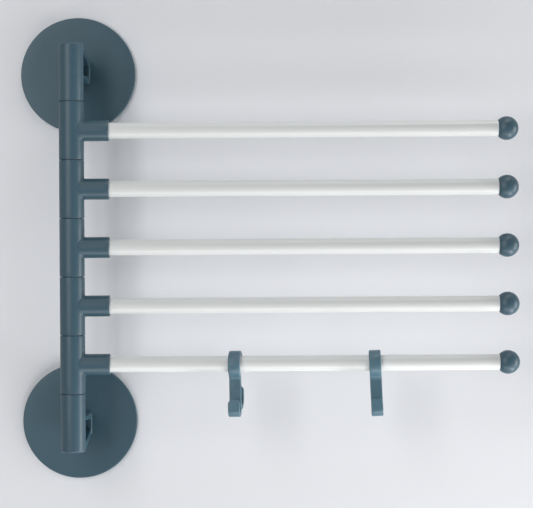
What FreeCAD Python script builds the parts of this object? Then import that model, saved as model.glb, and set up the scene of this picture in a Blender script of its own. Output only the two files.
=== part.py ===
import FreeCAD, Part
import math
import os
from types import SimpleNamespace

import Sketcher
from FreeCAD import Vector

# A swing arm towel bar for a wall. Two round discs stick to the wall, one above the other. An end post
# stands off each disc on a moulded bracket, and a steel tube joins the two posts. Five sleeves turn on
# that tube, each with a white bar and a ball cap, and two double hooks ride on the lowest bar.
# Millimetres. +X runs along the arms, +Z is up and the wall is the plane Y = 0, with the object in front
# of it at negative Y. The origin is the middle of the lower disc's wall side.

armCount = 5

driving = {
    # wall discs, and the pads that hold them to the wall
    "disc_diameter": 90.0,
    "disc_thickness": 3.9,
    "disc_rim_width": 3.0,
    "disc_edge": 0.9,
    "pad_thickness": 1.2,
    "pad_recess": 0.9,
    "pad_clearance": 0.3,
    # the column of two end posts and five sleeves
    "column_diameter": 19.0,
    "column_standoff": 50.0,
    "post_length": 44.0,
    "sleeve_length": 44.0,
    "seam_gap": 0.4,
    "seam_edge": 0.35,
    "post_end_radius": 1.4,
    # the bracket moulded on the back of each end post
    "foot_width": 19.4,
    "foot_height": 18.0,
    "foot_thickness": 3.0,
    "foot_corner": 2.0,
    "foot_start": 18.0,
    "foot_below_disc_centre": 1.8,
    "gusset_width": 15.0,
    "gusset_plate": 2.2,
    "gusset_web": 4.0,
    "gusset_tip_margin": 0.4,
    "post_root": 5.5,
    # screws from behind each disc into the foot of its post
    "screw_diameter": 2.9,
    "screw_head_diameter": 5.6,
    "screw_length": 12.0,
    "screw_spacing": 8.4,
    "screw_clearance": 0.05,
    "boss_diameter": 6.8,
    "boss_length": 8.0,
    # the tube that the sleeves turn on, and the washers between them
    "shaft_diameter": 8.0,
    "shaft_wall": 1.0,
    "shaft_running_clearance": 0.08,
    "shaft_seat_clearance": 0.03,
    "shaft_end_gap": 0.5,
    "socket_depth": 30.0,
    "washer_diameter": 16.4,
    "washer_clearance": 0.1,
    # bars, their stubs and their ball caps
    "stub_diameter": 16.0,
    "stub_reach": 28.5,
    "stub_edge": 0.5,
    "stub_blend": 0.8,
    "bar_diameter": 12.0,
    "bar_wall": 1.0,
    "bar_insert": 14.0,
    "bar_seat_clearance": 0.03,
    "bar_reach": 324.3,
    "bar_end_gap": 0.5,
    "cap_diameter": 18.0,
    "cap_flat": 6.4,
    "spigot_length": 9.0,
    "spigot_clearance": 0.4,
    "rib_setback": 1.5,
    "rib_clearance": 0.06,
    "rib_width": 1.2,
    # double hooks: one strip, bent over the bar and up at both ends
    "hook_width": 9.0,
    "hook_thickness": 3.2,
    "clip_clearance": 0.95,
    "hang_gap": 0.5,
    "clip_back_angle": -25.0,
    "clip_front_angle": 235.0,
    "neck_radius": 7.5,
    "hook_drop": 39.5,
    "front_gap": 5.6,
    "front_lip_height": 13.7,
    "rear_gap": 11.8,
    "rear_lip_height": 17.5,
    "rear_lift": 4.8,
    "lip_corner": 3.8,
    "hook_edge": 0.6,
    "crotch_radius": 1.5,
    "clip_nose_radius": 1.4,
    "hook_left_place": 123.5,
    "hook_right_place": 229.7,
    "hook_left_yaw": -7.0,
    "hook_left_lean": -0.4,
    "hook_right_yaw": -3.2,
    "hook_right_lean": -2.4,
}

spigotRibs = 4
washerCount = armCount + 1

doc = FreeCAD.newDocument("swing_arm_towel_bar")
sheet = doc.addObject("Spreadsheet::Sheet", "sizes")
for row, (alias, value) in enumerate(driving.items(), start=1):
    sheet.set(f"A{row}", alias)
    sheet.set(f"B{row}", str(value))
    sheet.setAlias(f"B{row}", alias)
doc.recompute()


class Size:
    """A length or an angle that knows its value now and the sheet formula that it comes from."""

    def __init__(self, value, formula):
        self.value = value
        self.formula = formula

    def __add__(self, other):
        return Size(self.value + valueOf(other), f"({self.formula} + {formulaOf(other)})")

    def __radd__(self, other):
        return Size(valueOf(other) + self.value, f"({formulaOf(other)} + {self.formula})")

    def __sub__(self, other):
        return Size(self.value - valueOf(other), f"({self.formula} - {formulaOf(other)})")

    def __rsub__(self, other):
        return Size(valueOf(other) - self.value, f"({formulaOf(other)} - {self.formula})")

    def __mul__(self, other):
        return Size(self.value * valueOf(other), f"({self.formula} * {formulaOf(other)})")

    __rmul__ = __mul__

    def __truediv__(self, other):
        return Size(self.value / valueOf(other), f"({self.formula} / {formulaOf(other)})")

    def __neg__(self):
        return Size(-self.value, f"(-{self.formula})")


def valueOf(size):
    return size.value if isinstance(size, Size) else float(size)


def formulaOf(size):
    return size.formula if isinstance(size, Size) else repr(float(size))


def cosOf(angle):
    return Size(math.cos(math.radians(valueOf(angle))), f"cos({formulaOf(angle)} * 1deg)")


def sinOf(angle):
    return Size(math.sin(math.radians(valueOf(angle))), f"sin({formulaOf(angle)} * 1deg)")


s = SimpleNamespace(**{alias: Size(sheet.get(alias), f"sizes.{alias}") for alias in driving})

# places that follow from the driving sizes
discRadius = s.disc_diameter / 2
discBack = s.pad_thickness - s.pad_recess
discFront = discBack + s.disc_thickness
recessRadius = discRadius - s.disc_rim_width
columnDepth = discFront + s.column_standoff
columnRadius = s.column_diameter / 2
pitch = s.sleeve_length + s.seam_gap
footEnd = s.foot_start + s.foot_height
lowerPostTop = s.foot_start + s.foot_height / 2 - s.foot_below_disc_centre
upperPostFoot = lowerPostTop + armCount * pitch + s.seam_gap
discSpacing = lowerPostTop + upperPostFoot
barRadius = s.bar_diameter / 2
barStart = s.stub_reach - s.bar_insert
lowestArm = lowerPostTop + s.seam_gap + s.sleeve_length / 2

visible = []


def bind(item, **sizes):
    """Ties properties of one object to the sheet; a double underscore stands for a dot."""
    for name, size in sizes.items():
        item.setExpression(name.replace("__", "."), formulaOf(size))


def place(item, x=0.0, y=0.0, z=0.0, axis=Vector(0, 0, 1), angle=0.0):
    item.Placement = FreeCAD.Placement(Vector(), FreeCAD.Rotation(axis, angle))
    bind(item, Placement__Base__x=x, Placement__Base__y=y, Placement__Base__z=z)


def placeTurned(item, x, y, z, yaw, lean):
    """Places a piece that leans about Y and is then turned about Z, both by angles from the sheet."""
    base = f"create(<<vector>>; {formulaOf(x)}; {formulaOf(y)}; {formulaOf(z)})"
    turn = f"create(<<rotation>>; {formulaOf(yaw)}; {formulaOf(lean)}; 0)"
    item.setExpression("Placement", f"create(<<placement>>; {base}; {turn})")


def newBody(name):
    body = doc.addObject("PartDesign::Body", name)
    body.Label = name
    visible.append(body)
    return body


def newSketch(body, name, plane, offset=0.0):
    """A sketch on one of the body's own planes, moved along that plane's normal by offset."""
    sketch = body.newObject("Sketcher::SketchObject", name)
    support = [item for item in body.Origin.OriginFeatures if item.Role == plane + "_Plane"][0]
    sketch.AttachmentSupport = [(support, "")]
    sketch.MapMode = "FlatFace"
    sketch.setExpression("AttachmentOffset.Base.z", formulaOf(offset))
    return sketch


def dimension(sketch, kind, elements, size, name):
    value = valueOf(size)
    formula = formulaOf(size)
    if kind == "Angle":
        value = math.radians(value)
        formula = f"{formula} * 1deg"
    number = sketch.addConstraint(Sketcher.Constraint(kind, *elements, value))
    sketch.renameConstraint(number, name)
    sketch.setExpression("Constraints." + name, formula)


def fixPoint(sketch, edge, end, x, y, name):
    """Holds one end of an edge, or a centre, at (x, y) from the sketch's origin."""
    for kind, size in (("DistanceX", x), ("DistanceY", y)):
        if valueOf(size) == 0.0 and not isinstance(size, Size):
            axis = -2 if kind == "DistanceX" else -1
            sketch.addConstraint(Sketcher.Constraint("PointOnObject", edge, end, axis))
        else:
            dimension(sketch, kind, (-1, 1, edge, end), size, name + kind[-1].lower())


def circle(sketch, radius, x=0.0, y=0.0, name="circle"):
    shape = Part.Circle(Vector(valueOf(x), valueOf(y)), Vector(0, 0, 1), valueOf(radius))
    edge = sketch.addGeometry(shape)
    fixPoint(sketch, edge, 3, x, y, name)
    dimension(sketch, "Radius", (edge,), radius, name + "_radius")


def polygon(sketch, corners, name="corner"):
    """A closed outline of straight edges through (x, y) corners."""
    points = [Vector(valueOf(x), valueOf(y)) for x, y in corners]
    count = len(points)
    edges = []
    for number in range(count):
        line = Part.LineSegment(points[number], points[(number + 1) % count])
        edges.append(sketch.addGeometry(line))
    for number in range(count):
        joined = (edges[number], 2, edges[(number + 1) % count], 1)
        sketch.addConstraint(Sketcher.Constraint("Coincident", *joined))
    for number, (x, y) in enumerate(corners):
        fixPoint(sketch, edges[number], 1, x, y, f"{name}{number}")


def rectangle(sketch, left, bottom, right, top):
    polygon(sketch, [(left, bottom), (right, bottom), (right, top), (left, top)])


def ringSector(sketch, x, y, middle, thickness, start, end):
    """A bent stretch of strip: a sector of a ring from the start angle to the end angle, in degrees."""
    centre = Vector(valueOf(x), valueOf(y))
    outer = middle + thickness / 2
    inner = middle - thickness / 2
    angles = [math.radians(valueOf(angle)) for angle in (start, end)]

    def at(radius, angle):
        return centre + Vector(math.cos(angle), math.sin(angle)) * valueOf(radius)

    arcs = []
    for radius in (outer, inner):
        full = Part.Circle(centre, Vector(0, 0, 1), valueOf(radius))
        arcs.append(sketch.addGeometry(Part.ArcOfCircle(full, *angles)))
    sketch.addConstraint(Sketcher.Constraint("Coincident", arcs[1], 3, arcs[0], 3))
    fixPoint(sketch, arcs[0], 3, x, y, "centre")
    dimension(sketch, "Radius", (arcs[0],), outer, "outer")
    dimension(sketch, "Radius", (arcs[1],), inner, "inner")
    for end_number, (angle, size) in enumerate(zip(angles, (start, end)), start=1):
        line = sketch.addGeometry(Part.LineSegment(at(inner, angle), at(outer, angle)))
        sketch.addConstraint(Sketcher.Constraint("Coincident", line, 1, arcs[1], end_number))
        sketch.addConstraint(Sketcher.Constraint("Coincident", line, 2, arcs[0], end_number))
        sketch.addConstraint(Sketcher.Constraint("PointOnObject", arcs[0], 3, line))
        dimension(sketch, "Angle", (line,), size, f"turn{end_number}")


def pad(body, sketch, length, name, symmetric=False, reverse=False):
    feature = body.newObject("PartDesign::Pad", name)
    feature.Profile = sketch
    feature.SideType = "Symmetric" if symmetric else "One side"
    feature.Reversed = reverse
    bind(feature, Length=length)
    return feature


def pocket(body, sketch, length, name, symmetric=False, reverse=False):
    """A cut to a depth. Cutting nothing is an error, so the volume before and after is compared."""
    doc.recompute()
    before = body.Shape.Volume
    feature = body.newObject("PartDesign::Pocket", name)
    feature.Profile = sketch
    feature.SideType = "Symmetric" if symmetric else "One side"
    feature.Reversed = reverse
    bind(feature, Length=length)
    doc.recompute()
    if body.Shape.Volume > before - 1e-3:
        raise RuntimeError(f"{body.Label}: {name} cuts nothing")


def revolve(body, sketch, axis, name):
    feature = body.newObject("PartDesign::Revolution", name)
    feature.Profile = sketch
    feature.ReferenceAxis = (sketch, [axis])
    feature.Angle = 360


def edgesWhere(body, test, name):
    """The body's tip and the names of its edges that pass the test."""
    doc.recompute()
    base = body.Tip
    names = [f"Edge{number}" for number, edge in enumerate(base.Shape.Edges, start=1) if test(edge)]
    if not names:
        raise RuntimeError(f"{body.Label}: {name} finds no edge")
    return base, names


def roundEdges(body, radius, test, name):
    base = edgesWhere(body, test, name)
    feature = body.newObject("PartDesign::Fillet", name)
    feature.Base = base
    bind(feature, Radius=radius)


def bevelEdges(body, size, test, name):
    base = edgesWhere(body, test, name)
    feature = body.newObject("PartDesign::Chamfer", name)
    feature.Base = base
    bind(feature, Size=size)


def near(a, b):
    return abs(valueOf(a) - valueOf(b)) < 1e-4


def isRing(edge, radius, axis, place):
    """True for an arc or circle of this radius whose plane crosses the named axis at place."""
    curve = edge.Curve
    if not isinstance(curve, Part.Circle) or not near(curve.Radius, radius):
        return False
    return near(getattr(curve.Center, axis), place) and near(abs(getattr(curve.Axis, axis)), 1.0)


def wallDisc(name, height):
    """A flat round disc with a shallow recess behind for its pad and two countersunk screw holes."""
    body = newBody(name)
    outline = newSketch(body, name + "_outline", "YZ")
    corners = [
        (-discFront, 0.0),
        (-discFront, discRadius),
        (-discBack, discRadius),
        (-discBack, recessRadius),
        (-s.pad_thickness, recessRadius),
        (-s.pad_thickness, 0.0),
    ]
    polygon(outline, corners)
    revolve(body, outline, "H_Axis", name + "_turned")
    bevelEdges(
        body,
        s.disc_edge,
        lambda edge: isRing(edge, discRadius, "y", -discFront),
        name + "_front_edge",
    )
    doc.recompute()
    holes = newSketch(body, name + "_hole_places", "XZ", s.pad_thickness)
    for number, side in enumerate((-1, 1)):
        middle = side * s.screw_spacing / 2
        circle(holes, s.screw_diameter / 2 + s.screw_clearance, y=middle, name=f"hole{number}_")
    doc.recompute()
    drill = body.newObject("PartDesign::Hole", name + "_screw_holes")
    drill.Profile = holes
    doc.recompute()
    drill.ThreadType = "None"
    drill.HoleCutType = "Countersink"
    drill.HoleCutCustomValues = True
    drill.DepthType = "ThroughAll"
    drill.Reversed = True
    drill.HoleCutCountersinkAngle = 90
    bind(
        drill,
        Diameter=s.screw_diameter + 2 * s.screw_clearance,
        HoleCutDiameter=s.screw_head_diameter + 2 * s.screw_clearance,
    )
    place(body, z=height)


def adhesivePad(name, height):
    body = newBody(name)
    outline = newSketch(body, name + "_outline", "XZ")
    circle(outline, recessRadius - s.pad_clearance)
    pad(body, outline, s.pad_thickness, name + "_sheet")
    place(body, z=height)


def endPost(name, height, turned):
    """The column's end segment with its bracket. Local z runs along the column: 0 at the end that faces
    the sleeves and negative towards the free end. The wall is towards +Y, the foot stands on the disc."""
    body = newBody(name)
    column = newSketch(body, name + "_round", "XY")
    circle(column, columnRadius)
    pad(body, column, s.post_length, name + "_column", reverse=True)
    roundEdges(
        body,
        s.post_end_radius,
        lambda edge: isRing(edge, columnRadius, "z", -s.post_length),
        name + "_free_end",
    )
    bevelEdges(
        body,
        s.seam_edge,
        lambda edge: isRing(edge, columnRadius, "z", 0.0),
        name + "_seam_end",
    )

    # a top plate and a sloping plate reach back to the foot, with one web between them
    footBack = s.column_standoff
    footFront = s.column_standoff - s.foot_thickness
    tip = -(s.post_length - s.post_end_radius - s.gusset_tip_margin)
    run = footFront - s.post_root
    rise = tip + footEnd
    slopeLength = Size(
        math.hypot(run.value, rise.value),
        f"sqrt({run.formula}^2 + {rise.formula}^2)",
    )
    slopePlate = s.gusset_plate * slopeLength / run
    top = newSketch(body, name + "_top_plate_side", "YZ")
    rectangle(top, s.post_root, -(s.foot_start + s.gusset_plate), footBack, -s.foot_start)
    pad(body, top, s.gusset_width, name + "_top_plate", symmetric=True)
    slope = newSketch(body, name + "_sloping_plate_side", "YZ")
    slopeEnds = [(s.post_root, tip), (footFront, -footEnd)]
    slopeInside = [(y, z + slopePlate) for y, z in reversed(slopeEnds)]
    polygon(slope, slopeEnds + slopeInside)
    pad(body, slope, s.gusset_width, name + "_sloping_plate", symmetric=True)
    web = newSketch(body, name + "_web_side", "YZ")
    polygon(web, slopeEnds + [(footFront, -s.foot_start), (s.post_root, -s.foot_start)])
    pad(body, web, s.gusset_web, name + "_web", symmetric=True)

    foot = newSketch(body, name + "_foot_outline", "XZ", -footBack)
    rectangle(foot, -s.foot_width / 2, -footEnd, s.foot_width / 2, -s.foot_start)
    pad(body, foot, s.foot_thickness, name + "_foot")
    roundEdges(
        body,
        s.foot_corner,
        lambda edge: isFootCorner(edge, footBack, footFront),
        name + "_foot_corners",
    )

    footMiddle = -(s.foot_start + s.foot_height / 2)
    screwMiddle = footMiddle + s.foot_below_disc_centre
    bosses = newSketch(body, name + "_boss_places", "XZ", -footFront)
    pilots = newSketch(body, name + "_pilot_places", "XZ", -footBack)
    for number, side in enumerate((-1, 1)):
        middle = screwMiddle + side * s.screw_spacing / 2
        circle(bosses, s.boss_diameter / 2, y=middle, name=f"boss{number}_")
        circle(pilots, s.screw_diameter / 2 + s.screw_clearance, y=middle, name=f"pilot{number}_")
    pad(body, bosses, s.boss_length, name + "_bosses")
    pilotDepth = s.foot_thickness + s.boss_length - s.gusset_plate / 2
    pocket(body, pilots, pilotDepth, name + "_pilots", reverse=True)
    socket = newSketch(body, name + "_socket_outline", "XY")
    circle(socket, s.shaft_diameter / 2 + s.shaft_seat_clearance)
    pocket(body, socket, s.socket_depth, name + "_socket")
    place(body, y=-columnDepth, z=height, axis=Vector(0, 1, 0), angle=180.0 if turned else 0.0)


def isFootCorner(edge, footBack, footFront):
    """True for the four short edges that run from the disc side to the front of the foot."""
    if not isinstance(edge.Curve, Part.Line) or not near(edge.Length, footBack - footFront):
        return False
    middle = edge.CenterOfMass
    onSide = near(abs(middle.x), s.foot_width / 2)
    onEnd = near(middle.z, -s.foot_start) or near(middle.z, -footEnd)
    return onSide and onEnd


def swivelSleeve(name, height):
    """A T-shaped sleeve: the column segment, with a bore that runs on the shaft, and a stub along +X
    with a blind socket for the bar. Local z is 0 at its lower end."""
    body = newBody(name)
    column = newSketch(body, name + "_round", "XY")
    circle(column, columnRadius)
    pad(body, column, s.sleeve_length, name + "_column")
    stub = newSketch(body, name + "_stub_outline", "YZ")
    circle(stub, s.stub_diameter / 2, y=s.sleeve_length / 2)
    pad(body, stub, s.stub_reach, name + "_stub")
    # where the stub runs into the column, the only edge that is neither straight nor round
    roundEdges(
        body,
        s.stub_blend,
        lambda edge: edge.BoundBox.XMin > 0.5 and not isinstance(edge.Curve, (Part.Circle, Part.Line)),
        name + "_stub_foot",
    )
    for end, word in ((0.0, "lower"), (s.sleeve_length, "upper")):
        bevelEdges(
            body,
            s.seam_edge,
            lambda edge, end=end: isRing(edge, columnRadius, "z", end),
            f"{name}_{word}_edge",
        )
    bevelEdges(
        body,
        s.stub_edge,
        lambda edge: isRing(edge, s.stub_diameter / 2, "x", s.stub_reach),
        name + "_stub_edge",
    )
    bore = newSketch(body, name + "_bore_outline", "XY")
    circle(bore, s.shaft_diameter / 2 + s.shaft_running_clearance)
    pocket(body, bore, s.sleeve_length, name + "_bore", reverse=True)
    socket = newSketch(body, name + "_socket_outline", "YZ", s.stub_reach)
    circle(socket, barRadius + s.bar_seat_clearance, y=s.sleeve_length / 2)
    pocket(body, socket, s.bar_insert + s.bar_end_gap, name + "_socket")
    place(body, y=-columnDepth, z=height)


def towelBar(name, height):
    """A plain round tube, from inside the stub to the flat of its ball cap."""
    body = newBody(name)
    section = newSketch(body, name + "_section", "YZ", barStart)
    circle(section, barRadius, name="outside")
    circle(section, barRadius - s.bar_wall, name="inside")
    pad(body, section, s.bar_reach - barStart, name + "_tube")
    place(body, y=-columnDepth, z=height)


def ballCap(name, height):
    """A ball with a flat where it meets the bar, and a ribbed spigot that pushes into the tube."""
    body = newBody(name)
    ballRadius = s.cap_diameter / 2
    bore = barRadius - s.bar_wall
    spigot = bore - s.spigot_clearance
    centre = s.bar_reach + s.cap_flat
    flatRadius = Size(
        math.sqrt(valueOf(ballRadius) ** 2 - valueOf(s.cap_flat) ** 2),
        f"sqrt({ballRadius.formula}^2 - {s.cap_flat.formula}^2)",
    )
    tip = centre + ballRadius
    outline = newSketch(body, name + "_outline", "XZ")
    full = Part.Circle(Vector(valueOf(centre), 0), Vector(0, 0, 1), valueOf(ballRadius))
    turn = math.atan2(valueOf(flatRadius), -valueOf(s.cap_flat))
    arc = outline.addGeometry(Part.ArcOfCircle(full, 0.0, turn))
    chain = [
        (s.bar_reach, flatRadius),
        (s.bar_reach, spigot),
        (s.bar_reach - s.spigot_length, spigot),
        (s.bar_reach - s.spigot_length, 0.0),
        (tip, 0.0),
    ]
    points = [Vector(valueOf(x), valueOf(y)) for x, y in chain]
    lines = [outline.addGeometry(Part.LineSegment(a, b)) for a, b in zip(points, points[1:])]
    joints = [(arc, 2, lines[0], 1), (lines[-1], 2, arc, 1)]
    joints += [(first, 2, second, 1) for first, second in zip(lines, lines[1:])]
    for joint in joints:
        outline.addConstraint(Sketcher.Constraint("Coincident", *joint))
    fixPoint(outline, arc, 3, centre, 0.0, "centre")
    dimension(outline, "Radius", (arc,), ballRadius, "ball")
    dimension(outline, "DistanceX", (-1, 1, lines[0], 1), s.bar_reach, "flat")
    for number, (x, y) in enumerate(chain[1:-1], start=1):
        fixPoint(outline, lines[number], 1, x, y, f"corner{number}")
    outline.addConstraint(Sketcher.Constraint("PointOnObject", lines[-1], 2, -1))
    revolve(body, outline, "H_Axis", name + "_turned")

    # small ribs along the spigot take up its clearance in the tube
    rib = newSketch(body, name + "_rib_outline", "YZ", s.bar_reach)
    rectangle(rib, -s.rib_width / 2, spigot - s.rib_width, s.rib_width / 2, bore - s.rib_clearance)
    ribPad = pad(body, rib, s.spigot_length - s.rib_setback, name + "_rib", reverse=True)
    ribs = body.newObject("PartDesign::PolarPattern", name + "_ribs")
    ribs.Originals = [ribPad]
    ribs.Axis = (rib, ["N_Axis"])
    ribs.Angle = 360
    ribs.Occurrences = spigotRibs
    body.Tip = ribs
    place(body, y=-columnDepth, z=height)


def doubleHook(name, along, yaw, lean):
    """A strip bent round the bar, with a stem below it and an upturned lip in front and behind. The
    origin is the middle of the clip; the front is towards -Y."""
    body = newBody(name)
    thick = s.hook_thickness
    clip = barRadius + s.clip_clearance + thick / 2
    neckReach = clip + s.neck_radius
    neckY = neckReach * cosOf(s.clip_front_angle)
    neckZ = neckReach * sinOf(s.clip_front_angle)
    stemY = neckY + s.neck_radius
    frontBend = (s.front_gap + thick) / 2
    rearBend = (s.rear_gap + thick) / 2
    frontZ = -s.hook_drop + thick / 2 + frontBend
    rearZ = -s.hook_drop + s.rear_lift + thick / 2 + rearBend
    frontLip = stemY - 2 * frontBend
    rearLip = stemY + 2 * rearBend

    bends = [
        ("clip", 0.0, 0.0, clip, s.clip_back_angle, s.clip_front_angle),
        ("neck", neckY, neckZ, s.neck_radius, 0.0, s.clip_front_angle - 180),
        ("front_bend", stemY - frontBend, frontZ, frontBend, 180.0, 360.0),
        ("rear_bend", stemY + rearBend, rearZ, rearBend, 180.0, 360.0),
    ]
    for word, y, z, middle, start, end in bends:
        sketch = newSketch(body, f"{name}_{word}_outline", "YZ")
        ringSector(sketch, y, z, middle, thick, start, end)
        pad(body, sketch, s.hook_width, f"{name}_{word}", symmetric=True)
    straights = [
        ("stem", stemY, frontZ, neckZ),
        ("front_lip", frontLip, frontZ, -s.hook_drop + s.front_lip_height),
        ("rear_lip", rearLip, rearZ, -s.hook_drop + s.rear_lift + s.rear_lip_height),
    ]
    for word, y, low, high in straights:
        sketch = newSketch(body, f"{name}_{word}_outline", "YZ")
        rectangle(sketch, y - thick / 2, low, y + thick / 2, high)
        pad(body, sketch, s.hook_width, f"{name}_{word}", symmetric=True)

    lipTops = [-s.hook_drop + s.front_lip_height, -s.hook_drop + s.rear_lift + s.rear_lip_height]

    def isLipCorner(edge):
        middle = edge.CenterOfMass
        onTop = any(near(middle.z, top) for top in lipTops)
        return onTop and near(abs(middle.x), s.hook_width / 2) and near(edge.Length, thick)

    roundEdges(body, s.lip_corner, isLipCorner, name + "_lip_corners")

    def isCrotch(edge):
        middle = edge.CenterOfMass
        between = middle.y > valueOf(stemY) and middle.y < valueOf(stemY + rearBend)
        below = middle.z < valueOf(rearZ) - 1.0 and not near(middle.z, frontZ)
        return between and below and near(edge.Length, s.hook_width)

    roundEdges(body, s.crotch_radius, isCrotch, name + "_crotch")

    def isClipEnd(edge):
        middle = edge.CenterOfMass
        turn = math.degrees(math.atan2(middle.z, middle.y))
        return near(turn, s.clip_back_angle) and near(edge.Length, s.hook_width)

    roundEdges(body, s.clip_nose_radius, isClipEnd, name + "_clip_nose")

    def isSideEdge(edge):
        box = edge.BoundBox
        return near(box.XMin, box.XMax) and near(abs(box.XMin), s.hook_width / 2)

    bevelEdges(body, s.hook_edge, isSideEdge, name + "_side_edges")
    drop = s.clip_clearance - s.hang_gap
    placeTurned(body, along, -columnDepth, lowestArm - drop, yaw, lean)


def ring(name, outside, inside, length):
    """A plain ring or tube along +Z, from primitives."""
    cut = doc.addObject("Part::Cut", name)
    parts = []
    for word, diameter in (("outside", outside), ("inside", inside)):
        cylinder = doc.addObject("Part::Cylinder", f"{name}_{word}")
        bind(cylinder, Radius=diameter / 2, Height=length)
        parts.append(cylinder)
    cut.Base, cut.Tool = parts
    return cut


def centreShaft():
    """The steel tube that the sleeves turn on, from one blind socket to the other."""
    tube = ring(
        "centre_shaft",
        s.shaft_diameter,
        s.shaft_diameter - 2 * s.shaft_wall,
        upperPostFoot - lowerPostTop + 2 * (s.socket_depth - s.shaft_end_gap),
    )
    tube.Label = "centre_shaft"
    place(tube, y=-columnDepth, z=lowerPostTop - s.socket_depth + s.shaft_end_gap)
    visible.append(tube)


def swivelWashers():
    """One thin washer in each seam of the column."""
    washers = []
    for number in range(washerCount):
        washer = ring(
            f"washer_{number + 1}",
            s.washer_diameter,
            s.shaft_diameter + 2 * s.washer_clearance,
            s.seam_gap,
        )
        place(washer, y=-columnDepth, z=lowerPostTop + number * pitch)
        washers.append(washer)
    group = doc.addObject("Part::Compound", "swivel_washers")
    group.Label = "swivel_washers"
    group.Links = washers
    visible.append(group)


def bracketScrews():
    """Four countersunk screws, their heads flush with the floor of the pads' recesses."""
    screws = []
    for disc, discHeight in (("lower", 0.0), ("upper", discSpacing)):
        for side in (-1, 1):
            height = discHeight + side * s.screw_spacing / 2
            screws.append(screw(f"screw_{disc}_{'outer' if side < 0 else 'inner'}", height))
    group = doc.addObject("Part::Compound", "bracket_screws")
    group.Label = "bracket_screws"
    group.Links = screws
    visible.append(group)


def screw(name, height):
    """A countersunk self-tapping screw along -Y, with a 90 degree head."""
    headLength = (s.screw_head_diameter - s.screw_diameter) / 2
    head = doc.addObject("Part::Cone", name + "_head")
    bind(head, Radius1=s.screw_head_diameter / 2, Radius2=s.screw_diameter / 2, Height=headLength)
    shank = doc.addObject("Part::Cylinder", name + "_shank")
    bind(shank, Radius=s.screw_diameter / 2, Height=s.screw_length - headLength)
    bind(shank, Placement__Base__z=headLength)
    whole = doc.addObject("Part::Fuse", name)
    whole.Base = head
    whole.Tool = shank
    place(whole, y=-s.pad_thickness, z=height, axis=Vector(1, 0, 0), angle=90.0)
    return whole


for word, height in (("lower", 0.0), ("upper", discSpacing)):
    wallDisc(f"wall_disc_{word}", height)
    adhesivePad(f"adhesive_pad_{word}", height)
endPost("end_post_lower", lowerPostTop, turned=False)
endPost("end_post_upper", upperPostFoot, turned=True)
centreShaft()
swivelWashers()
bracketScrews()
for number in range(1, armCount + 1):
    sleeveFoot = lowerPostTop + s.seam_gap + (armCount - number) * pitch
    barHeight = sleeveFoot + s.sleeve_length / 2
    swivelSleeve(f"swivel_sleeve_{number}", sleeveFoot)
    towelBar(f"towel_bar_{number}", barHeight)
    ballCap(f"ball_cap_{number}", barHeight)
doubleHook("double_hook_left", s.hook_left_place, s.hook_left_yaw, s.hook_left_lean)
doubleHook("double_hook_right", s.hook_right_place, s.hook_right_yaw, s.hook_right_lean)

doc.recompute()
for item in doc.Objects:
    if "Invalid" in item.State or "Error" in item.State:
        raise RuntimeError(f"{item.Label} did not build: {item.State}")
os.makedirs("parts", exist_ok=True)
for item in visible:
    shape = item.Shape
    if shape.isNull() or not shape.isValid():
        raise RuntimeError(f"{item.Label} has no valid shape")
    shape.exportStep(f"parts/{item.Label}.step")
    box = shape.BoundBox
    print(
        f"{item.Label}: {len(shape.Solids)} solid(s), {shape.Volume:.1f} mm3,"
        f" {box.XLength:.1f} x {box.YLength:.1f} x {box.ZLength:.1f} mm"
    )
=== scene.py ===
import math

import bmesh
import bpy
from mathutils import Matrix, Vector
from mathutils import noise as mathNoise


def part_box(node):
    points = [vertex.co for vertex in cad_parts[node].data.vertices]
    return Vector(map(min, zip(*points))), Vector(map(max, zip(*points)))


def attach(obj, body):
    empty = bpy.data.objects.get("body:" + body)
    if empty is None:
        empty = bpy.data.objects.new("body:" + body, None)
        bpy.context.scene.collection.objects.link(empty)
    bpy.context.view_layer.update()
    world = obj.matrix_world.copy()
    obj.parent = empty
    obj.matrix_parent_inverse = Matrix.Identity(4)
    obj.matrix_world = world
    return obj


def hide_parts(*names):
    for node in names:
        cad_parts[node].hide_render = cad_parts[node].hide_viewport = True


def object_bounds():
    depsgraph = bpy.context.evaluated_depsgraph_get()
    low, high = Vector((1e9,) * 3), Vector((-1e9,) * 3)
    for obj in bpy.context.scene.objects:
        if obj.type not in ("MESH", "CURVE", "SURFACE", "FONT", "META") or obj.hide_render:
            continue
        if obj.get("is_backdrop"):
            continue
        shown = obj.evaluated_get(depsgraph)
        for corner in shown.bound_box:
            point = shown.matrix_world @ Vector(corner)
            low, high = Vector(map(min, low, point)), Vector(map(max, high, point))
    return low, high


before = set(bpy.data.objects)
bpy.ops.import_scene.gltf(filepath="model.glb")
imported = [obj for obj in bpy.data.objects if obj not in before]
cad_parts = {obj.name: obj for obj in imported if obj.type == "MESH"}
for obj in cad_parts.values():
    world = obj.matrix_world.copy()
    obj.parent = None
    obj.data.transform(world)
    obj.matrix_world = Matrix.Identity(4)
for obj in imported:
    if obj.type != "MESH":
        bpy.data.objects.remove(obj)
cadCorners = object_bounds()
mm = 0.001


# places that every piece is set by, read from the solids

armNumbers = range(1, 6)
shaftLow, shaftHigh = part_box("centre_shaft")
columnX = (shaftLow.x + shaftHigh.x) / 2
columnY = (shaftLow.y + shaftHigh.y) / 2


def barHeight(number):
    low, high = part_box(f"towel_bar_{number}")
    return (low.z + high.z) / 2


# camera, just below the level of the middle arm

cameraSet = {
    "arm": 3,
    "ahead": 1.315,
    "beside": 0.1477,
    "below": 0.0057,
    "lens": 116.9,
    "sensor": 36,
    "near": 0.01,
    "far": 20,
    "rollDegrees": -0.36,
}


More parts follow.
